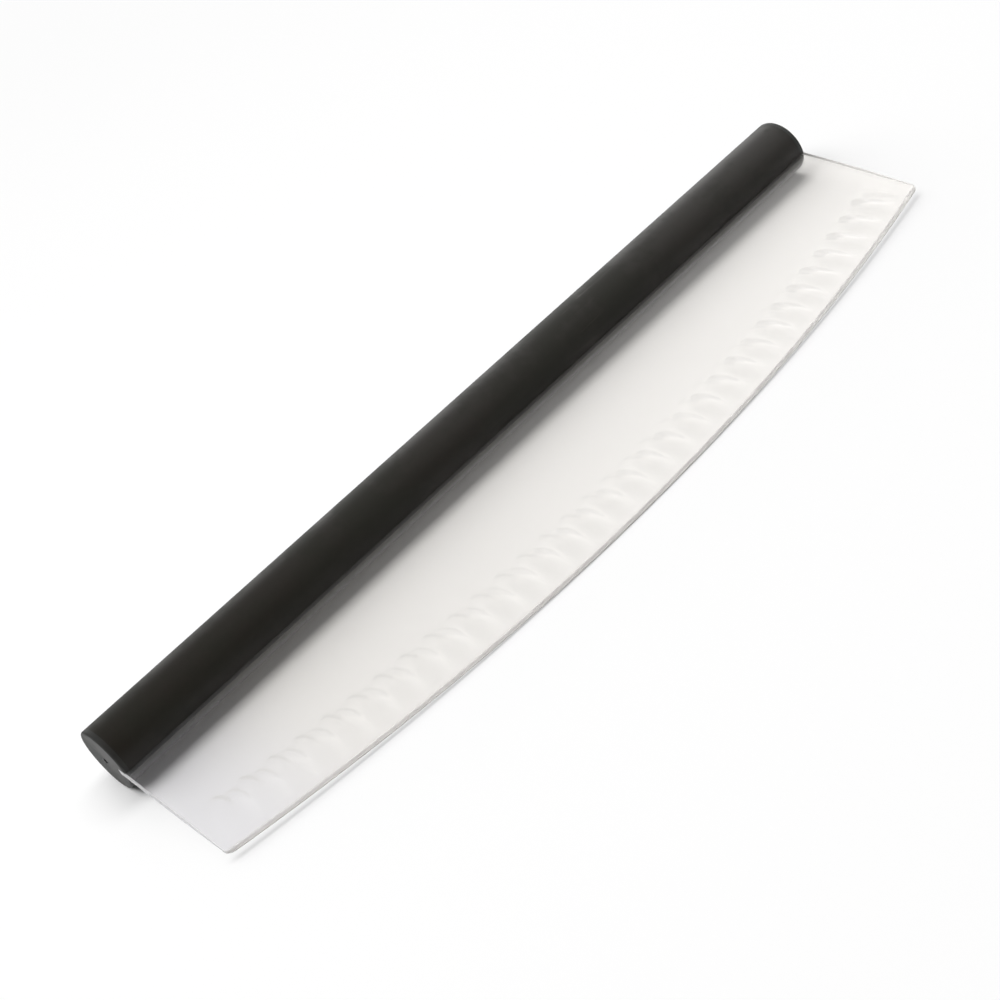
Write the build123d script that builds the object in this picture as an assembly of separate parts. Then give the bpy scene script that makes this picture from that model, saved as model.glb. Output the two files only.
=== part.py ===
from build123d import *

import math
import os

# Rocking pizza knife: a clear moulded blade with a curved, fluted edge, clamped in a round black handle.
# It lies as it does on a table, on the handle's side and on the middle of the curved edge.
# Millimetres, +Z up. +X runs along the handle, and the edge faces -Y.
# The origin is at the middle of the outer box, on the table.
#
# The pieces are made in the blade's own frame and then tilted into the resting pose.
# In that frame the handle's axis is X, the blade's middle plane is Z = 0, and the blade reaches to -Y.

# Handle
handle_length = 356.0
handle_radius = 12.0
sleeve_wall = 2.5
cap_thickness = 2.0
cap_rim_rounding = 0.8
spigot_length = 6.0
centre_hole_radius = 1.2
centre_hole_depth = 5.0

# Blade outline: its reach is measured from the handle's axis
blade_middle_reach = 83.0
blade_end_reach = 64.6
blade_corner_radius = 3.0
tang_depth = 5.5
tang_end_gap = 3.0
root_depth_in_cap = 4.0

# Blade section
blade_thickness = 3.0
taper_width = 22.5
taper_end_thickness = 1.3
bevel_width = 2.0
tip_thickness = 0.5

# Flutes ground into both faces along the edge
upper_flute_count = 33
flute_spacing = 10.7
flute_reach = 21.5
flute_radius = 26.0
flute_depth = 0.45

# Screws and nuts that clamp the core around the tang
clamp_count = 6
clamp_spacing = 60.0
screw_radius = 1.5
screw_head_radius = 2.75
screw_head_height = 2.0
screw_head_rounding = 0.5
screw_socket_across = 2.0
screw_socket_depth = 1.2
nut_across_flats = 5.5
nut_height = 2.4
nut_end_thread = 0.6
clamp_grip_thickness = 3.5

# Clearances
slide_clearance = 0.1
core_end_clearance = 0.3
hole_clearance = 0.15
pocket_clearance = 0.2
cut_overrun = 5.0

# Sizes that follow
handle_half_length = handle_length / 2
sleeve_half_length = handle_half_length - cap_thickness
sleeve_bore_radius = handle_radius - sleeve_wall
core_radius = sleeve_bore_radius - slide_clearance
core_half_length = sleeve_half_length - spigot_length - core_end_clearance
slot_half_height = blade_thickness / 2 + slide_clearance
tang_half_length = core_half_length - tang_end_gap
root_end_reach = handle_radius - root_depth_in_cap
edge_drop = blade_middle_reach - blade_end_reach
edge_radius = (handle_half_length**2 + edge_drop**2) / (2 * edge_drop)
edge_centre_y = edge_radius - blade_middle_reach
clamp_places = [(i - (clamp_count - 1) / 2) * clamp_spacing for i in range(clamp_count)]
head_seat_height = blade_thickness / 2 + clamp_grip_thickness
turn_step = math.degrees(flute_spacing / edge_radius)


def touch_angle(reach, half_thickness):
    """Degrees by which the blade turns down until a point of its lower face touches the table."""
    span = math.hypot(reach, half_thickness)
    return math.degrees(math.asin(handle_radius / span) - math.atan(half_thickness / reach))


lower_points = [
    (blade_middle_reach, tip_thickness / 2),
    (blade_middle_reach - bevel_width, taper_end_thickness / 2),
]
rest_tilt = min(touch_angle(reach, half) for reach, half in lower_points)
front_reach = (
    blade_middle_reach * math.cos(math.radians(rest_tilt))
    + tip_thickness / 2 * math.sin(math.radians(rest_tilt))
)
rest_pose = Pos(0, (front_reach - handle_radius) / 2, handle_radius) * Rot(rest_tilt, 0, 0)


def bar(radius, half_length):
    """Round bar along the handle's axis."""
    return Rot(0, 90, 0) * Cylinder(radius, 2 * half_length)


def block(x_range, y_range, z_range):
    """Box between two corners."""
    sizes = [high - low for low, high in (x_range, y_range, z_range)]
    middles = [(high + low) / 2 for low, high in (x_range, y_range, z_range)]
    return Pos(*middles) * Box(*sizes)


def upright_rod(radius, x, low, high):
    """Round rod across the blade, at x on the handle's axis."""
    return Pos(x, 0, (low + high) / 2) * Cylinder(radius, high - low)


def upright_hexagon(across_flats, x, low, high):
    """Hexagonal prism across the blade, at x on the handle's axis."""
    outline = RegularPolygon(across_flats / 2, 6, major_radius=False)
    return Pos(x, 0, low) * extrude(outline, high - low)


def half_thickness_at(distance):
    """Half the blade's thickness on its tapered face, at a distance in from the edge."""
    slope = (blade_thickness - taper_end_thickness) / 2 / (taper_width - bevel_width)
    return blade_thickness / 2 - slope * (taper_width - distance)


# Blade: outline of the plate with its tang
def blade_outline():
    """Plate seen square on: curved edge in front, straight ends, stepped tang behind."""
    right_side = [
        (tang_half_length, tang_depth),
        (tang_half_length, -root_end_reach),
        (handle_half_length, -root_end_reach),
        (handle_half_length, -blade_end_reach),
    ]
    left_side = [(-x, y) for x, y in reversed(right_side)]
    edge = ThreePointArc(right_side[-1], (0, -blade_middle_reach), left_side[0])
    back = Polyline(*left_side, *right_side)
    plate = make_face([edge, back])
    corners = plate.vertices().sort_by(Axis.Y)[:2]
    return fillet(corners, blade_corner_radius)


# Blade: section turned about the centre of the curved edge
def blade_envelope():
    """Ring whose section is the blade's: flat plate, taper to the edge, then a short bevel."""
    inner = edge_radius - blade_middle_reach - tang_depth - cut_overrun
    upper = [
        (inner, blade_thickness / 2),
        (edge_radius - taper_width, blade_thickness / 2),
        (edge_radius - bevel_width, taper_end_thickness / 2),
        (edge_radius, tip_thickness / 2),
    ]
    lower = [(r, -h) for r, h in reversed(upper)]
    section = make_face(Polyline(*upper, *lower, close=True))
    return Pos(0, edge_centre_y, 0) * revolve(Plane.XZ * section, Axis.Z)


# Blade: one grinding wheel's path for each flute
def flute_cutter(turn, side):
    """Cylinder that leaves an arch-topped hollow, deepest at the edge, on the upper or lower face."""
    rise = half_thickness_at(flute_reach) - half_thickness_at(0) + flute_depth
    tilt = math.degrees(math.atan(rise / flute_reach))
    length = flute_reach + 2 * cut_overrun
    wheel = Rot(90, 0, 0) * Cylinder(flute_radius, length)
    wheel = Pos(0, length / 2 - cut_overrun, flute_radius) * wheel
    wheel = Pos(0, -edge_radius, half_thickness_at(0) - flute_depth) * Rot(tilt, 0, 0) * wheel
    wheel = Pos(0, edge_centre_y, 0) * Rot(0, 0, turn) * wheel
    return wheel if side > 0 else wheel.mirror(Plane.XY)


def make_blade():
    plate = extrude(blade_outline(), blade_thickness / 2, both=True)
    blade = plate & blade_envelope()
    for count, side in ((upper_flute_count, 1), (upper_flute_count - 1, -1)):
        for i in range(count):
            blade = blade - flute_cutter((i - (count - 1) / 2) * turn_step, side)
    for x in clamp_places:
        hole = upright_rod(screw_radius + hole_clearance, x, -blade_thickness, blade_thickness)
        blade = blade - hole
    return blade


# Handle: outer sleeve, with a slot along its front for the blade
def make_grip_sleeve():
    tube = bar(handle_radius, sleeve_half_length) - bar(sleeve_bore_radius, handle_half_length)
    slot = block(
        (-handle_half_length, handle_half_length),
        (-handle_radius - cut_overrun, 0),
        (-slot_half_height, slot_half_height),
    )
    return tube - slot


# Handle: two half-round core bars that grip the tang between their flat faces
def core_half(side):
    far = side * (core_radius + cut_overrun)
    near = side * blade_thickness / 2
    keep = block(
        (-core_half_length, core_half_length),
        (-core_radius, core_radius),
        (min(near, far), max(near, far)),
    )
    return bar(core_radius, core_half_length) & keep


def make_upper_core():
    core = core_half(1)
    for x in clamp_places:
        core = core - upright_rod(screw_radius + hole_clearance, x, 0, handle_radius)
        core = core - upright_rod(screw_head_radius + pocket_clearance, x, head_seat_height, handle_radius)
    return core


def make_lower_core():
    core = core_half(-1)
    for x in clamp_places:
        core = core - upright_rod(screw_radius + hole_clearance, x, -handle_radius, 0)
        pocket = nut_across_flats + 2 * pocket_clearance
        core = core - upright_hexagon(pocket, x, -handle_radius, -head_seat_height)
    return core


# Fasteners: cap screws from above, nuts held in the lower core
def clamp_screw(x):
    head_top = head_seat_height + screw_head_height
    head = upright_rod(screw_head_radius, x, head_seat_height, head_top)
    head = fillet(head.edges().sort_by(Axis.Z)[-1], screw_head_rounding)
    socket = upright_hexagon(screw_socket_across, x, head_top - screw_socket_depth, handle_radius)
    shank_end = -head_seat_height - nut_height - nut_end_thread
    return head + upright_rod(screw_radius, x, shank_end, head_seat_height) - socket


def clamp_nut(x):
    nut_end = -head_seat_height - nut_height
    nut = upright_hexagon(nut_across_flats, x, nut_end, -head_seat_height)
    return nut - upright_rod(screw_radius + slide_clearance, x, nut_end - nut_height, 0)


# Handle: end caps, each a disc with a spigot in the sleeve and a notch for the blade's root
def make_end_cap(side):
    """Cap for the right end, or mirrored for the left."""
    disc = Pos(sleeve_half_length + cap_thickness / 2, 0, 0) * bar(handle_radius, cap_thickness / 2)
    disc = fillet(disc.edges().sort_by(Axis.X)[-1], cap_rim_rounding)
    spigot = Pos(sleeve_half_length - spigot_length / 2, 0, 0) * bar(core_radius, spigot_length / 2)
    notch = block(
        (core_half_length, handle_half_length + cut_overrun),
        (-handle_radius - cut_overrun, slide_clearance - root_end_reach),
        (-slot_half_height, slot_half_height),
    )
    hole = Pos(handle_half_length, 0, 0) * bar(centre_hole_radius, centre_hole_depth)
    cap = disc + spigot - notch - hole
    return cap if side > 0 else cap.mirror(Plane.YZ)


def group(pieces):
    """Separate solids that share one node."""
    return Compound([solid for piece in pieces for solid in piece.solids()])


nodes = {
    "blade": make_blade(),
    "grip_sleeve": make_grip_sleeve(),
    "upper_core": make_upper_core(),
    "lower_core": make_lower_core(),
    "clamp_screws": group(clamp_screw(x) for x in clamp_places),
    "clamp_nuts": group(clamp_nut(x) for x in clamp_places),
    "left_end_cap": make_end_cap(-1),
    "right_end_cap": make_end_cap(1),
}

os.makedirs("parts", exist_ok=True)
for name, shape in nodes.items():
    placed = [rest_pose * solid for solid in shape.solids()]
    export_step(Compound(placed), f"parts/{name}.step")

print("rest tilt, degrees:", round(rest_tilt, 3))
print("edge radius:", round(edge_radius, 1))
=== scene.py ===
import math

import bpy
import numpy as np
from mathutils import Matrix, Vector


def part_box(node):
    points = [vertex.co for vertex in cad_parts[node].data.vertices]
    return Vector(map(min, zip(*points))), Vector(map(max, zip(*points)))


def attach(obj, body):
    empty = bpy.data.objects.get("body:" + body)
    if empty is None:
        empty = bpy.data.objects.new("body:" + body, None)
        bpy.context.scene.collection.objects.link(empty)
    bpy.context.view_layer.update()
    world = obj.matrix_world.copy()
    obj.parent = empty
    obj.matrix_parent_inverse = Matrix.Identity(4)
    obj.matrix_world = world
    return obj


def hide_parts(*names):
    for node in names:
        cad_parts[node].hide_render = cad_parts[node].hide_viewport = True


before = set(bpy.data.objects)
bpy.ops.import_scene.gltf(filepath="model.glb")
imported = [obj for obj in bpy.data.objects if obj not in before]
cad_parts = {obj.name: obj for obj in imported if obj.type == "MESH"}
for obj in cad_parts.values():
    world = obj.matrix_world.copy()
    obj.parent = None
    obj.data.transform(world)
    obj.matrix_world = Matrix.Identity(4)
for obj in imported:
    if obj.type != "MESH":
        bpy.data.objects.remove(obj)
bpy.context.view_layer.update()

scene = bpy.context.scene
scene.view_settings.view_transform = "Standard"
mm = 0.001

# Sizes in millimetres, the same as in the solids
handle_half_length = 178.0
rest_tilt = math.radians(8.06)
blade_middle_reach = 83.0
edge_radius = 870.2
corner_radius = 3.0
tang_depth = 5.5
tang_half_length = 166.7
root_end_reach = 8.0
blade_thickness = 3.0
taper_width = 22.5
taper_end_thickness = 1.3
bevel_width = 2.0
tip_thickness = 0.5
flute_spacing = 10.7
flute_reach = 21.5
flute_radius = 26.0
upper_flute_count = 33
screw_hole_radius = 1.65
screw_places = (-150.0, -90.0, -30.0, 30.0, 90.0, 150.0)

# Sizes in millimetres that only the scene has
rim_rounding = 0.35
tip_rounding = 0.08
cut_edge_width = 0.35
flute_rim_softness = 0.12
flute_edge_depth = 0.03
flute_dish = 1.5
flute_shift = -1.6
root_margin = 0.01

# Share of a flute's radius that its arc covers to each side, and the least angle of a sharp edge
flute_arc_share = 0.9
crease_angle = math.radians(40.0)

# Painted shade in dark arcs at the flutes' tops, in millimetres, with its strength at three places
# along the blade
arc_places = (-110.0, -40.0, 60.0)
arc_strengths = (1.0, 0.65, 0.15)
arc_from = 13.0
arc_full = 20.0
arc_inset = 0.2
arc_width = 0.6
arc_left_share = 0.15
arc_middle_share = 0.8
arc_turn_width = 2.0
least_slope = 0.02

# Grid of the blade's faces: distances in millimetres and counts
edge_columns = 663
corner_columns = 12
fan_half_length = 125.0
bevel_rows = [0, 0.03, 0.09, 0.3, 0.7, 1.1, 1.5, 2.0]
flute_rows = np.arange(2.6, 23.4, 0.62)
plate_rows = 11
tang_rows = 4
hole_sides = 32

# Centres of the curved edge and of the right corner's rounding
edge_centre_y = edge_radius - blade_middle_reach
corner_x = handle_half_length - corner_radius
corner_y = edge_centre_y - math.sqrt((edge_radius - corner_radius) ** 2 - corner_x**2)

# The handle's axis at rest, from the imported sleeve
sleeve_low, sleeve_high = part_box("grip_sleeve")
axis_y = (sleeve_low.y + sleeve_high.y) / 2 / mm
axis_z = (sleeve_low.z + sleeve_high.z) / 2 / mm


def to_world(x, y, z):
    """Turns the blade's own frame by the resting tilt, moves it to the handle's axis, in metres."""
    c, s = math.cos(rest_tilt), math.sin(rest_tilt)
    points = np.stack([x, axis_y + c * y - s * z, axis_z + s * y + c * z], axis=-1)
    return points.reshape(-1, 3) * mm


def to_blade(mesh):
    """Mesh points in the blade's own frame, in millimetres."""
    points = np.empty(len(mesh.vertices) * 3)
    mesh.vertices.foreach_get("co", points)
    points = points.reshape(-1, 3) / mm - (0, axis_y, axis_z)
    c, s = math.cos(rest_tilt), math.sin(rest_tilt)
    return points[:, 0], c * points[:, 1] + s * points[:, 2], c * points[:, 2] - s * points[:, 1]


def link_object(name, data):
    piece = bpy.data.objects.new(name, data)
    scene.collection.objects.link(piece)
    return piece


def make_mesh(name, points, faces):
    """Puts an array of points and an array of quads into a new mesh object, smoothly shaded."""
    mesh = bpy.data.meshes.new(name)
    mesh.from_pydata(points.tolist(), [], faces.tolist())
    mesh.update()
    mesh.polygons.foreach_set("use_smooth", np.ones(len(faces), bool))
    mesh.set_sharp_from_angle(angle=crease_angle)
    return link_object(name, mesh)


# Blade: places on the plate
def edge_distance(x, y):
    """Distance in from the curved edge."""
    return edge_radius - np.hypot(x, y - edge_centre_y)


def edge_angle(x, y):
    """Angle about the centre of the curved edge, from the middle of the blade to the right."""
    return np.arctan2(x, edge_centre_y - y)


def end_distance(x, y):
    """Distance in from the plate's straight ends and rounded corners."""
    from_end = handle_half_length - np.abs(x)
    dx, dy = np.abs(x) - corner_x, corner_y - y
    in_corner = (dx > 0) & (dy > 0)
    return np.where(in_corner, corner_radius - np.hypot(dx, dy), from_end)


def flute_place(d, angle, side):
    """Distance across from the middle line of the nearest flute on one face."""
    half_count = (upper_flute_count - 1) / 2
    first = -half_count if side > 0 else -half_count + 0.5
    step = flute_spacing / edge_radius
    angle = angle - flute_shift / edge_radius
    nearest = np.clip(np.round(angle / step - first), 0, -2 * first) + first
    return (edge_radius - d) * np.sin(angle - nearest * step)


# Blade: section
def smooth_lower(a, b, width):
    """The lower of two surfaces, with their meeting line rounded over a small height."""
    h = np.clip(0.5 + 0.5 * (b - a) / width, 0.0, 1.0)
    return b * (1 - h) + a * h - width * h * (1 - h)


def taper_half_thickness(d):
    """Half the thickness of the taper, a straight slope, at a distance in from the edge."""
    slope = (blade_thickness - taper_end_thickness) / 2 / (taper_width - bevel_width)
    return blade_thickness / 2 - slope * (taper_width - d)


def flat_half_thickness(d):
    """Half the plate's thickness without flutes: the least of bevel, taper and flat."""
    bevel = tip_thickness / 2 + (taper_end_thickness - tip_thickness) / 2 * d / bevel_width
    return np.minimum(np.minimum(bevel, taper_half_thickness(d)), blade_thickness / 2)


def flute_share(d):
    """How far along a flute a point lies: 0 at the bevel, 1 where the flute runs out."""
    return np.maximum(d - bevel_width, 0) / (flute_reach - bevel_width)


def flute_depth_at(d):
    """Depth of a flute's middle line under the taper: the share of its run left, times a dish."""
    t = flute_share(d)
    return (1 - t) * (flute_edge_depth + flute_dish * t)


def flute_floor(d, across):
    """Height of a flute's floor: taper less depth, and across it the arc of the flute's radius."""
    limit = flute_radius * flute_arc_share
    across = np.clip(across, -limit, limit)
    middle = taper_half_thickness(d) - flute_depth_at(d)
    return middle + flute_radius - np.sqrt(flute_radius**2 - across**2)


def rounded_off(inward, radius):
    """What a quarter of a circle takes off a face, at a distance in from its rim."""
    e = np.clip(inward, 0, radius)
    return radius - np.sqrt(np.maximum(radius**2 - (radius - e) ** 2, 0))


def face_height(x, y, side):
    """Half thickness of one face: plate cut by the flutes, less the rounding of its rims."""
    d = edge_distance(x, y)
    across = flute_place(d, edge_angle(x, y), side)
    h = smooth_lower(flat_half_thickness(d), flute_floor(d, across), flute_rim_softness)
    h = h - rounded_off(end_distance(x, y), rim_rounding)
    return h - rounded_off(d, tip_rounding)


def shoulder_shade(d, across):
    """Painted shade: a soft dark arc just inside a flute's outline, from 0 to 1.

    It is a bell curve of the distance inside the outline, which is the depth there over its slope.
    It fades towards the edge, and to the left of the flute's middle line.
    """
    t = flute_share(d)
    run = flute_reach - bevel_width
    slope = ((1 - t) * flute_dish - flute_edge_depth - flute_dish * t) / run
    depth = flute_depth_at(d) - across**2 / (2 * flute_radius)
    inside = depth / np.maximum(np.hypot(slope, across / flute_radius), least_slope)
    upper_part = np.clip((d - arc_from) / (arc_full - arc_from), 0, 1)
    right_part = np.clip(arc_middle_share + across / arc_turn_width, 0, 1)
    right_part = arc_left_share + (1 - arc_left_share) * right_part
    return np.exp(-(((inside - arc_inset) / arc_width) ** 2)) * upper_part * right_part


# Blade: mesh
def blade_columns():
    """Ends of the grid's lines on the edge and on the root, and the lines at the tang's two ends.

    In the middle of the blade a line is a radius of the curved edge. Towards the ends it turns
    until it is square to the handle. The lines of a rounded corner start on its quarter circle.
    """
    last_angle = math.asin(corner_x / (edge_radius - corner_radius))
    angle = np.linspace(-last_angle, last_angle, edge_columns)
    edge_x = edge_radius * np.sin(angle)
    edge_y = edge_centre_y - edge_radius * np.cos(angle)
    root_x = (edge_centre_y + root_end_reach) * np.tan(angle)
    turn = np.clip((np.abs(edge_x) - fan_half_length) / (edge_x[-1] - fan_half_length), 0, 1)
    root_x = root_x + (edge_x - root_x) * turn**2 * (3 - 2 * turn)
    around = np.linspace(last_angle - math.pi / 2, 0, corner_columns + 1)[1:]
    round_x = corner_x + corner_radius * np.cos(around)
    round_y = corner_y + corner_radius * np.sin(around)
    edge_x = np.concatenate([-round_x[::-1], edge_x, round_x])
    edge_y = np.concatenate([round_y[::-1], edge_y, round_y])
    root_x = np.concatenate([-round_x[::-1], root_x, round_x])
    tang_last = np.argmin(np.abs(root_x - tang_half_length))
    tang_first = len(root_x) - 1 - tang_last
    root_x[tang_last] = tang_half_length
    root_x[tang_first] = -tang_half_length
    return edge_x, edge_y, root_x, tang_first, tang_last


def quads(index):
    """Corners of each cell of a grid of point numbers."""
    corners = [index[:-1, :-1], index[1:, :-1], index[1:, 1:], index[:-1, 1:]]
    return np.stack(corners, axis=-1).reshape(-1, 4)


def blade_surface():
    """Two height fields over one grid, joined by a wall round the outline.

    A grid point lies a share of the way along its line from the edge to the root, and is raised or
    sunk by the height of its face there. Behind the root the tang's lines go on straight back.
    """
    edge_x, edge_y, root_x, tang_first, tang_last = blade_columns()
    run = np.hypot(root_x - edge_x, -root_end_reach - edge_y)
    near = np.concatenate([bevel_rows, flute_rows])
    far = near[-1] + np.linspace(0, 1, plate_rows + 1)[1:] * (run[:, None] - near[-1])
    share = np.concatenate([np.tile(near, (len(run), 1)), far], axis=1) / run[:, None]
    plate_x = edge_x[:, None] + (root_x - edge_x)[:, None] * share
    plate_y = edge_y[:, None] + (-root_end_reach - edge_y)[:, None] * share
    back = np.linspace(0, 1, tang_rows + 1)[1:]
    back = -root_end_reach + (root_end_reach + tang_depth) * back
    tang_x = np.repeat(root_x[tang_first : tang_last + 1, None], tang_rows, axis=1)
    tang_y = np.repeat(back[None, :], len(tang_x), axis=0)

    plate = np.arange(plate_x.size).reshape(plate_x.shape)
    tang = np.arange(tang_x.size).reshape(tang_x.shape) + plate.size
    tang = np.concatenate([plate[tang_first : tang_last + 1, -1:], tang], axis=1)
    outline = np.concatenate([
        plate[:, 0], plate[-1, 1:], plate[tang_last:-1, -1][::-1], tang[-1, 1:],
        tang[:-1, -1][::-1], tang[0, :-1][::-1], plate[:tang_first, -1][::-1], plate[0, 1:-1][::-1],
    ])
    following = np.roll(outline, -1)
    count = plate_x.size + tang_x.size
    top = np.concatenate([quads(plate), quads(tang)])
    wall = np.stack([outline, outline + count, following + count, following], axis=-1)
    faces = np.concatenate([top, top[:, ::-1] + count, wall])
    x = np.concatenate([plate_x.ravel(), tang_x.ravel()])
    y = np.concatenate([plate_y.ravel(), tang_y.ravel()])
    upper, lower = face_height(x, y, 1), -face_height(x, y, -1)
    return np.concatenate([to_world(x, y, upper), to_world(x, y, lower)]), faces


def cut_screw_holes(piece):
    """Takes the screw holes out of the tang with a Boolean, and keeps the finished mesh.

    Each hole is a prism: a regular polygon on its circle, below the plate and again above it.
    """
    turn = np.linspace(0, 2 * math.pi, hole_sides + 1)[:-1]
    ring_x, ring_y = screw_hole_radius * np.cos(turn), screw_hole_radius * np.sin(turn)
    rings = [
        to_world(x + ring_x, ring_y, np.full(hole_sides, z))
        for x in screw_places
        for z in (-blade_thickness, blade_thickness)
    ]
    faces = []
    for i in range(len(screw_places)):
        low = np.arange(hole_sides) + 2 * i * hole_sides
        high = low + hole_sides
        faces += [low[::-1].tolist(), high.tolist()]
        faces += np.stack([low, np.roll(low, -1), np.roll(high, -1), high], axis=-1).tolist()
    mesh = bpy.data.meshes.new("hole_cutter")
    mesh.from_pydata(np.concatenate(rings).tolist(), [], faces)
    cutter = link_object("hole_cutter", mesh)
    cut = piece.modifiers.new("screw_holes", "BOOLEAN")
    cut.operation = "DIFFERENCE"
    cut.solver = "EXACT"
    cut.object = cutter
    bpy.context.view_layer.update()
    ready = piece.evaluated_get(bpy.context.evaluated_depsgraph_get())
    finished = bpy.data.meshes.new_from_object(ready)
    piece.modifiers.clear()
    piece.data = finished
    bpy.data.objects.remove(cutter)


def mark_distances(piece):
    """Stores, for the materials, each point's distance in from the edge and its share of an arc of
    painted shade.
    """
    x, y, z = to_blade(piece.data)
    d, angle = edge_distance(x, y), edge_angle(x, y)
    upper = shoulder_shade(d, flute_place(d, angle, 1))
    lower = shoulder_shade(d, flute_place(d, angle, -1))
    arcs = np.interp(x, arc_places, arc_strengths) * np.where(z > 0, upper, lower)
    for label, values in (("edge_distance", d), ("shoulder_shade", arcs)):
        layer = piece.data.attributes.new(label, "FLOAT", "POINT")
        layer.data.foreach_set("value", values.astype(np.float32))


def cut_edge_faces(mesh):
    """One number for each face: 1 on the walls of the outline and along the very edge, else 0."""
    x, y, _ = to_blade(mesh)
    margin = np.minimum(edge_distance(x, y), end_distance(x, y))
    corners = np.empty(len(mesh.loops), np.int32)
    mesh.loops.foreach_get("vertex_index", corners)
    starts = np.empty(len(mesh.polygons), np.int32)
    mesh.polygons.foreach_get("loop_start", starts)
    inmost = np.maximum.reduceat(margin[corners], starts)
    in_front = np.minimum.reduceat(-y[corners], starts) > root_end_reach - root_margin
    return ((inmost < cut_edge_width) & in_front).astype(np.int32)


blade = make_mesh("clear_blade", *blade_surface())
cut_screw_holes(blade)
mark_distances(blade)
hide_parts("blade")
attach(blade, "root")


# Materials: helpers
def new_material(name):
    material = bpy.data.materials.new(name)
    material.use_nodes = True
    return material, material.node_tree, material.node_tree.nodes["Principled BSDF"]


def new_group(name, inputs, outputs):
    """Shader node group with float or vector inputs and outputs."""
    kinds = {float: "NodeSocketFloat", tuple: "NodeSocketVector"}
    group = bpy.data.node_groups.new(name, "ShaderNodeTree")
    for label, value in inputs:
        socket = group.interface.new_socket(label, in_out="INPUT", socket_type=kinds[type(value)])
        socket.default_value = value
    for label, value in outputs:
        group.interface.new_socket(label, in_out="OUTPUT", socket_type=kinds[type(value)])
    given = group.nodes.new("NodeGroupInput").outputs
    result = group.nodes.new("NodeGroupOutput").inputs
    return group, given, result


def feed(tree, socket, value):
    """Links an output to a socket, or writes a plain value into it."""
    if isinstance(value, bpy.types.NodeSocket):
        tree.links.new(value, socket)
    else:
        socket.default_value = value


def calc(tree, operation, *values):
    node = tree.nodes.new("ShaderNodeMath")
    node.operation = operation
    for socket, value in zip(node.inputs, values):
        feed(tree, socket, value)
    return node.outputs[0]


def ramp(tree, value, low, high, at_low, at_high):
    """Value that goes smoothly from at_low to at_high while the input goes from low to high."""
    node = tree.nodes.new("ShaderNodeMapRange")
    node.interpolation_type = "SMOOTHSTEP"
    ends = (("From Min", low), ("From Max", high), ("To Min", at_low), ("To Max", at_high))
    for label, number in ends:
        feed(tree, node.inputs[label], number)
    feed(tree, node.inputs["Value"], value)
    return node.outputs[0]


def blend_colour(tree, share, first, second):
    node = tree.nodes.new("ShaderNodeMix")
    node.data_type = "RGBA"
    feed(tree, node.inputs["Factor"], share)
    for socket, colour in ((node.inputs[6], first), (node.inputs[7], second)):
        feed(tree, socket, colour if isinstance(colour, bpy.types.NodeSocket) else (*colour, 1.0))
    return node.outputs[2]


def noise(tree, vector, scale, detail, rough=0.5):
    node = tree.nodes.new("ShaderNodeTexNoise")
    settings = (("Vector", vector), ("Scale", scale), ("Detail", detail), ("Roughness", rough))
    for label, value in settings:
        feed(tree, node.inputs[label], value)
    return node.outputs[0]


def place_group(tree, group, vector, **values):
    node = tree.nodes.new("ShaderNodeGroup")
    node.node_tree = group
    feed(tree, node.inputs["Vector"], vector)
    for label, value in values.items():
        feed(tree, node.inputs[label.replace("_", " ")], value)
    return node.outputs[0]


def handle_frame(tree):
    """Object coordinates turned into the handle's own frame, with its axis at the origin."""
    where = tree.nodes.new("ShaderNodeTexCoord")
    turned = tree.nodes.new("ShaderNodeMapping")
    turned.vector_type = "TEXTURE"
    turned.inputs["Location"].default_value = (0.0, axis_y * mm, axis_z * mm)
    turned.inputs["Rotation"].default_value = (rest_tilt, 0.0, 0.0)
    feed(tree, turned.inputs["Vector"], where.outputs["Object"])
    return turned.outputs[0]


def add_bump(tree, shader, height, distance):
    node = tree.nodes.new("ShaderNodeBump")
    node.inputs["Distance"].default_value = distance
    feed(tree, node.inputs["Height"], height)
    feed(tree, shader.inputs["Normal"], node.outputs[0])


# Materials: effects that more than one of them uses
def build_grain():
    """Fine leathery grain of a moulding tool: soft noise with rounded cells in it."""
    cell_height = 0.6
    group, given, result = new_group(
        "moulded_grain",
        [("Vector", (0.0, 0.0, 0.0)), ("Grains per Metre", 2500.0)],
        [("Height", 0.0)],
    )
    soft = noise(group, given["Vector"], given["Grains per Metre"], 2.0)
    cells = group.nodes.new("ShaderNodeTexVoronoi")
    cells.feature = "SMOOTH_F1"
    feed(group, cells.inputs["Vector"], given["Vector"])
    feed(group, cells.inputs["Scale"], given["Grains per Metre"])
    height = calc(group, "ADD", soft, calc(group, "MULTIPLY", cells.outputs[0], cell_height))
    feed(group, result["Height"], height)
    return group


def build_mottle():
    """Slow cloudy change over a surface, from 0 to 1, with a coarse and a fine part."""
    fine_over_coarse = 6.0
    coarse_share, fine_share = 0.65, 0.35
    clear_at, cloudy_at = 0.36, 0.64
    group, given, result = new_group(
        "cloudy_mottle",
        [("Vector", (0.0, 0.0, 0.0)), ("Clouds per Metre", 40.0)],
        [("Mask", 0.0)],
    )
    coarse = noise(group, given["Vector"], given["Clouds per Metre"], 1.0)
    quick = calc(group, "MULTIPLY", given["Clouds per Metre"], fine_over_coarse)
    fine = noise(group, given["Vector"], quick, 2.0)
    coarse = calc(group, "MULTIPLY", coarse, coarse_share)
    both = calc(group, "ADD", coarse, calc(group, "MULTIPLY", fine, fine_share))
    feed(group, result["Mask"], ramp(group, both, clear_at, cloudy_at, 0.0, 1.0))
    return group


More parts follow.
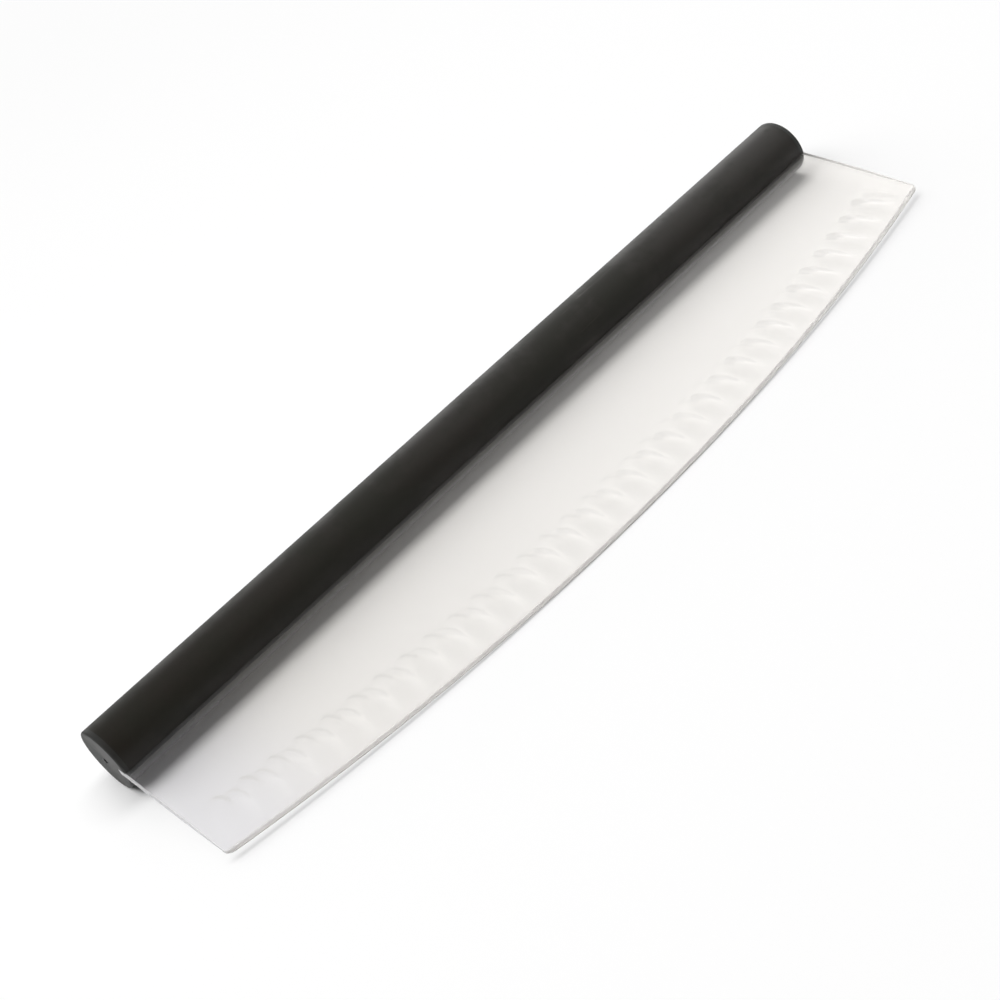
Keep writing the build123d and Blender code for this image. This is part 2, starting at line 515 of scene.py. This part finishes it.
def build_rubbing():
    """Hairline rub marks: noise drawn out along one direction, of which only the peaks are kept."""
    line_low, line_high = 0.60, 0.72
    patch_low, patch_high = 0.5, 0.7
    patches_per_metre = 30.0
    group, given, result = new_group(
        "rub_marks",
        [("Vector", (0.0, 0.0, 0.0)), ("Marks per Metre", 400.0), ("Stretch", (0.04, 1.0, 1.0))],
        [("Mask", 0.0)],
    )
    drawn = group.nodes.new("ShaderNodeVectorMath")
    drawn.operation = "MULTIPLY"
    feed(group, drawn.inputs[0], given["Vector"])
    feed(group, drawn.inputs[1], given["Stretch"])
    lines = noise(group, drawn.outputs[0], given["Marks per Metre"], 3.0, 0.6)
    lines = ramp(group, lines, line_low, line_high, 0.0, 1.0)
    patches = noise(group, given["Vector"], patches_per_metre, 1.0)
    patches = ramp(group, patches, patch_low, patch_high, 0.0, 1.0)
    feed(group, result["Mask"], calc(group, "MULTIPLY", lines, patches))
    return group


grain_group, mottle_group, rub_group = build_grain(), build_mottle(), build_rubbing()

# Clear plastic: colours of the plate's middle, of its left end with painted shade, of its edge with
# frosting and painted shade, and of its dark arcs of painted shade
plate_warm = (0.985, 0.962, 0.930)
plate_cool_shade = (0.935, 0.925, 0.940)
plate_edge_frost_and_shade = (0.885, 0.85, 0.825)
plate_arc_shade = (0.79, 0.77, 0.74)

# Clear plastic: see-through share, roughness, and what a shadow keeps of the light
plate_clear = 0.93
cut_edge_clear = 0.45
plate_ior = 1.5
plate_smooth = 0.05
plate_cloudy = 0.09
bevel_rough = 0.50
cut_edge_rough = 0.38
shadow_clear = 0.965
shadow_bevel = 0.76
shadow_cut_edge = 0.50

# Clear plastic: where finishes and painted shade change, in millimetres from the edge and in metres
# along it
bevel_from = 0.2
bevel_to = 2.8
cool_shade_from = -0.176
cool_shade_to = -0.120
edge_shade_fade_from = -0.02
edge_shade_fade_to = 0.14

# Clear plastic: fineness of its effects, per metre, and their strength
plate_clouds = 25.0
plate_rub_marks = 900.0
plate_rub_rough = 0.03
plate_ripples = 90.0
ripple_height = 0.012
along_handle = (0.05, 1.0, 1.0)


def make_clear_plastic(name, clearness, satin, bevel_shadow):
    """Clear moulded plastic: cloudy haze, slow ripple, satin bevel, painted shade at the left end
    and along the edge, and dark arcs of painted shade at the flutes.
    """
    material, tree, shader = new_material(name)

    def marked(label):
        node = tree.nodes.new("ShaderNodeAttribute")
        node.attribute_name = label
        return node.outputs["Fac"]

    local = handle_frame(tree)
    axes = tree.nodes.new("ShaderNodeSeparateXYZ")
    feed(tree, axes.inputs[0], local)
    along = axes.outputs[0]
    clouds = place_group(tree, mottle_group, local, Clouds_per_Metre=plate_clouds)
    rubbed = place_group(
        tree, rub_group, local, Marks_per_Metre=plate_rub_marks, Stretch=along_handle
    )
    bevel = ramp(tree, marked("edge_distance"), bevel_from, bevel_to, 1.0, 0.0)

    # Painted shade: the left end of the plate darker and cooler
    left_end = ramp(tree, along, cool_shade_from, cool_shade_to, 1.0, 0.0)
    tint = blend_colour(tree, left_end, plate_warm, plate_cool_shade)
    # Painted shade: dark arcs along the flutes' tops, from the shoulder_shade attribute
    tint = blend_colour(tree, marked("shoulder_shade"), tint, plate_arc_shade)
    # The edge is darker partly for the bevel's frosted finish and partly with painted shade, which
    # fades out towards the right
    right_end = ramp(tree, along, edge_shade_fade_from, edge_shade_fade_to, 0.0, 1.0)
    edge_frost_and_shade = blend_colour(tree, right_end, plate_edge_frost_and_shade, plate_warm)
    feed(tree, shader.inputs["Base Color"], blend_colour(tree, bevel, tint, edge_frost_and_shade))
    rough = ramp(tree, clouds, 0.0, 1.0, plate_smooth, plate_cloudy)
    rough = calc(tree, "ADD", rough, calc(tree, "MULTIPLY", rubbed, plate_rub_rough))
    rough = calc(tree, "MAXIMUM", rough, calc(tree, "MULTIPLY", bevel, bevel_rough))
    feed(tree, shader.inputs["Roughness"], calc(tree, "MAXIMUM", rough, satin))
    ripple = noise(tree, local, plate_ripples, 1.0)
    add_bump(tree, shader, calc(tree, "MULTIPLY", ripple, ripple_height), mm)
    shader.inputs["IOR"].default_value = plate_ior
    shader.inputs["Transmission Weight"].default_value = clearness

    # Shadows and soft light pass straight through, a little weaker
    path = tree.nodes.new("ShaderNodeLightPath").outputs
    through = tree.nodes.new("ShaderNodeBsdfTransparent")
    clear, dark = (shadow_clear,) * 3, (bevel_shadow,) * 3
    feed(tree, through.inputs["Color"], blend_colour(tree, bevel, clear, dark))
    pick = tree.nodes.new("ShaderNodeMixShader")
    soft_light = calc(tree, "MAXIMUM", path["Is Shadow Ray"], path["Is Diffuse Ray"])
    feed(tree, pick.inputs[0], soft_light)
    feed(tree, pick.inputs[1], shader.outputs[0])
    feed(tree, pick.inputs[2], through.outputs[0])
    feed(tree, tree.nodes["Material Output"].inputs["Surface"], pick.outputs[0])
    return material


# Black plastics: colours, and strength of the clouds and rub marks
grip_dark = 0.0085
grip_warm = (grip_dark * 1.40, grip_dark * 1.03, grip_dark * 0.62)
grip_olive = (grip_dark * 1.15, grip_dark * 1.03, grip_dark * 0.52)
cap_dark = 0.030
cap_warm = (cap_dark * 1.04, cap_dark, cap_dark * 0.92)
cap_green = (cap_dark * 0.94, cap_dark * 1.02, cap_dark * 0.96)
core_light = (0.045, 0.045, 0.043)
core_dark = (0.036, 0.036, 0.036)
black_clouds = 45.0
black_rub_marks = 700.0
rub_lighter = 2.2
rub_colour_share = 0.35
rub_polish = 0.1


def make_black_plastic(name, colours, roughness, gloss, grains, grain_height):
    """Black moulded plastic: two close blacks in soft clouds, fine grain and hairline rub marks."""
    material, tree, shader = new_material(name)
    local = handle_frame(tree)
    clouds = place_group(tree, mottle_group, local, Clouds_per_Metre=black_clouds)
    rubbed = place_group(
        tree, rub_group, local, Marks_per_Metre=black_rub_marks, Stretch=along_handle
    )
    lighter = tuple(rub_lighter * channel for channel in colours[0])
    colour = blend_colour(tree, clouds, *colours)
    rub_share = calc(tree, "MULTIPLY", rubbed, rub_colour_share)
    feed(tree, shader.inputs["Base Color"], blend_colour(tree, rub_share, colour, lighter))
    rough = ramp(tree, clouds, 0.0, 1.0, *roughness)
    polish = calc(tree, "MULTIPLY", rubbed, rub_polish)
    feed(tree, shader.inputs["Roughness"], calc(tree, "SUBTRACT", rough, polish))
    grain = place_group(tree, grain_group, local, Grains_per_Metre=grains)
    add_bump(tree, shader, grain, grain_height)
    shader.inputs["Specular IOR Level"].default_value = gloss
    return material


# Steel: colours, and fineness and strength of its effects
steel_light = (0.58, 0.58, 0.57)
steel_dark = (0.48, 0.48, 0.49)
steel_smooth = 0.26
steel_cloudy = 0.38
steel_clouds = 300.0
steel_rub_marks = 2500.0
steel_rub_rough = 0.15
steel_grains = 6000.0
steel_grain_height = 0.000004
along_screw = (1.0, 1.0, 0.1)


def make_steel():
    """Plated steel: bright, with fine marks drawn out along each screw, and darker clouds."""
    material, tree, shader = new_material("fastener_steel")
    local = handle_frame(tree)
    clouds = place_group(tree, mottle_group, local, Clouds_per_Metre=steel_clouds)
    rubbed = place_group(
        tree, rub_group, local, Marks_per_Metre=steel_rub_marks, Stretch=along_screw
    )
    colour = blend_colour(tree, clouds, steel_light, steel_dark)
    feed(tree, shader.inputs["Base Color"], colour)
    rough = ramp(tree, clouds, 0.0, 1.0, steel_smooth, steel_cloudy)
    marks = calc(tree, "MULTIPLY", rubbed, steel_rub_rough)
    feed(tree, shader.inputs["Roughness"], calc(tree, "ADD", rough, marks))
    grain = place_group(tree, grain_group, local, Grains_per_Metre=steel_grains)
    add_bump(tree, shader, grain, steel_grain_height)
    shader.inputs["Metallic"].default_value = 1.0
    return material


# Finishes of the pieces
plate_finish = make_clear_plastic("clear_plastic", plate_clear, 0.0, shadow_bevel)
cut_finish = make_clear_plastic(
    "clear_plastic_cut_edge", cut_edge_clear, cut_edge_rough, shadow_cut_edge
)
blade.data.materials.clear()
blade.data.materials.append(plate_finish)
blade.data.materials.append(cut_finish)
blade.data.polygons.foreach_set("material_index", cut_edge_faces(blade.data))

black_grip = make_black_plastic(
    "black_grip", (grip_warm, grip_olive), roughness=(0.50, 0.60), gloss=0.5,
    grains=2600.0, grain_height=0.000010,
)
black_cap = make_black_plastic(
    "black_cap", (cap_warm, cap_green), roughness=(0.50, 0.62), gloss=0.45,
    grains=3200.0, grain_height=0.000008,
)
core_plastic = make_black_plastic(
    "core_plastic", (core_light, core_dark), roughness=(0.42, 0.55), gloss=0.45,
    grains=1800.0, grain_height=0.000008,
)
steel = make_steel()
finishes = {
    "grip_sleeve": black_grip, "left_end_cap": black_cap, "right_end_cap": black_cap,
    "upper_core": core_plastic, "lower_core": core_plastic,
    "clamp_screws": steel, "clamp_nuts": steel,
}
for name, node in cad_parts.items():
    node.data.materials.clear()
    node.data.materials.append(finishes.get(name, steel))

# Studio: room light, as azimuth, elevation and spread in degrees, with its least and full strength
room = (-18.0, 42.0, 58.0)
room_low = 0.0
room_high = 2.2

# Studio: windows that only mirror-like surfaces see, as azimuth, elevation and spread, and strength
window = (80.0, 25.0, 55.0)
window_low = 0.02
window_high = 1.75
back_window = (30.0, 5.0, 35.0)
back_strength = 2.4
side_window = (105.0, 20.0, 60.0)
side_strength = 0.5
left_window = (285.0, 25.0, 60.0)
left_strength = 0.8

# Studio: narrow strip light that draws the bright line on the flutes
strip_azimuth = 61.0
strip_elevation = 31.0
strip_inner = 3.0
strip_outer = 11.0
strip_height = 5.0
strip_strength = 0.8


def build_world():
    """Even room light. Mirror-like surfaces see soft bright windows, and the camera plain white."""
    world = bpy.data.worlds.new("studio")
    scene.world = world
    world.cycles.sampling_method = "NONE"
    world.use_nodes = True
    tree = world.node_tree
    tree.nodes.clear()
    path = tree.nodes.new("ShaderNodeLightPath").outputs
    where = tree.nodes.new("ShaderNodeTexCoord").outputs["Generated"]

    def towards(azimuth, elevation):
        """How nearly a ray points in a direction: 1 straight along it, 0 square to it."""
        a, e = math.radians(azimuth), math.radians(elevation)
        node = tree.nodes.new("ShaderNodeVectorMath")
        node.operation = "DOT_PRODUCT"
        feed(tree, node.inputs[0], where)
        direction = (math.sin(a) * math.cos(e), math.cos(a) * math.cos(e), math.sin(e))
        node.inputs[1].default_value = direction
        return node.outputs["Value"]

    def patch(azimuth, elevation, outer, low, high, inner=0.0):
        """Value that falls smoothly from high to low between two angles from a direction."""
        inner, outer = math.cos(math.radians(inner)), math.cos(math.radians(outer))
        return ramp(tree, towards(azimuth, elevation), outer, inner, low, high)

    def level_strip(azimuth, elevation, height):
        """Value that falls from one to nothing above and below a direction."""
        off = calc(tree, "ABSOLUTE", towards(azimuth, elevation + 90))
        return ramp(tree, off, 0.0, math.sin(math.radians(height)), 1.0, 0.0)

    def background(strength):
        node = tree.nodes.new("ShaderNodeBackground")
        feed(tree, node.inputs["Strength"], strength)
        return node

    def either(share, first, second):
        node = tree.nodes.new("ShaderNodeMixShader")
        for socket, value in zip(node.inputs, (share, first, second)):
            feed(tree, socket, value)
        return node.outputs[0]

    undiffused = calc(tree, "LESS_THAN", path["Diffuse Depth"], 0.5)
    unmirrored = calc(tree, "LESS_THAN", path["Glossy Depth"], 0.5)
    straight = calc(tree, "MULTIPLY", undiffused, unmirrored)
    through = calc(tree, "MULTIPLY", path["Is Transmission Ray"], straight)
    seen = calc(tree, "MAXIMUM", path["Is Camera Ray"], through)
    mirrored = calc(tree, "MULTIPLY", path["Glossy Depth"], undiffused)

    strip = patch(strip_azimuth, strip_elevation, strip_outer, 0.0, strip_strength, strip_inner)
    level = level_strip(strip_azimuth, strip_elevation, strip_height)
    glow = calc(tree, "MULTIPLY", strip, level)
    glow = calc(tree, "ADD", patch(*window, window_low, window_high), glow)
    far_windows = (
        (back_window, back_strength), (side_window, side_strength), (left_window, left_strength)
    )
    for place, strength in far_windows:
        glow = calc(tree, "ADD", glow, patch(*place, 0.0, strength))

    white = background(1.0)
    white.inputs["Color"].default_value = (1.0, 1.0, 1.0, 1.0)
    room_light = background(patch(*room, room_low, room_high)).outputs[0]
    around = either(mirrored, room_light, background(glow).outputs[0])
    surface = tree.nodes.new("ShaderNodeOutputWorld").inputs["Surface"]
    feed(tree, surface, either(seen, around, white.outputs[0]))


build_world()
scene.cycles.max_bounces = 24
scene.cycles.glossy_bounces = 16
scene.cycles.transmission_bounces = 20

# Lamp: long soft box overhead. Power in watts, tilts and sizes seen from the part in degrees,
# distance in metres
key_power = 45.4
key_side = -3.0
key_back = 5.0
key_long = 80.0
key_wide = 30.0
key_distance = 2.4
key_data = bpy.data.lights.new("key_lamp", "AREA")
key_data.shape = "RECTANGLE"
key_data.size = 2 * key_distance * math.tan(math.radians(key_long / 2))
key_data.size_y = 2 * key_distance * math.tan(math.radians(key_wide / 2))
key_data.energy = key_power
key = link_object("key_lamp", key_data)
key_tilt = Matrix.Rotation(math.radians(key_side), 4, "Y")
key_tilt = key_tilt @ Matrix.Rotation(math.radians(-key_back), 4, "X")
key.matrix_world = key_tilt @ Matrix.Translation((0, 0, key_distance))
key.visible_glossy = False
key.visible_transmission = False

# Floor, in metres: seen by the camera, it goes over into plain white away from the part
floor_size = 4
floor_white = (0.985, 0.985, 0.985, 1)
floor_rough = 0.9
floor_fade_from = 0.4
floor_fade_to = 1.2


def make_floor_finish():
    """Matt white. For the camera it turns into even white between two distances from the part."""
    material, tree, shader = new_material("floor")
    shader.inputs["Base Color"].default_value = floor_white
    shader.inputs["Roughness"].default_value = floor_rough
    shader.inputs["Specular IOR Level"].default_value = 0.0
    where = tree.nodes.new("ShaderNodeTexCoord")
    away = tree.nodes.new("ShaderNodeVectorMath")
    away.operation = "LENGTH"
    feed(tree, away.inputs[0], where.outputs["Object"])
    path = tree.nodes.new("ShaderNodeLightPath").outputs
    even_white = tree.nodes.new("ShaderNodeEmission")
    far = ramp(tree, away.outputs["Value"], floor_fade_from, floor_fade_to, 0.0, 1.0)
    pick = tree.nodes.new("ShaderNodeMixShader")
    feed(tree, pick.inputs[0], calc(tree, "MULTIPLY", far, path["Is Camera Ray"]))
    feed(tree, pick.inputs[1], shader.outputs[0])
    feed(tree, pick.inputs[2], even_white.outputs[0])
    feed(tree, tree.nodes["Material Output"].inputs["Surface"], pick.outputs[0])
    return material


bpy.ops.mesh.primitive_plane_add(size=floor_size, location=(0, 0, 0))
floor = bpy.context.object
floor.name = "floor"
floor.data.materials.append(make_floor_finish())

# Camera: long lens, above and to the left of the blade, rolled
camera_place = Vector((-275.99, -442.78, 366.12)) * mm
camera_target = Vector((-25.06, 1.99, 6.0)) * mm
camera_roll = math.radians(-25.21)
camera_data = bpy.data.cameras.new("camera")
camera_data.lens = 65.77
camera_data.sensor_width = 36.0
camera_data.clip_start = 0.01
camera = link_object("camera", camera_data)
aim = (camera_target - camera_place).to_track_quat("-Z", "Y").to_matrix().to_4x4()
roll = Matrix.Rotation(camera_roll, 4, "Z")
camera.matrix_world = Matrix.Translation(camera_place) @ aim @ roll
scene.camera = camera
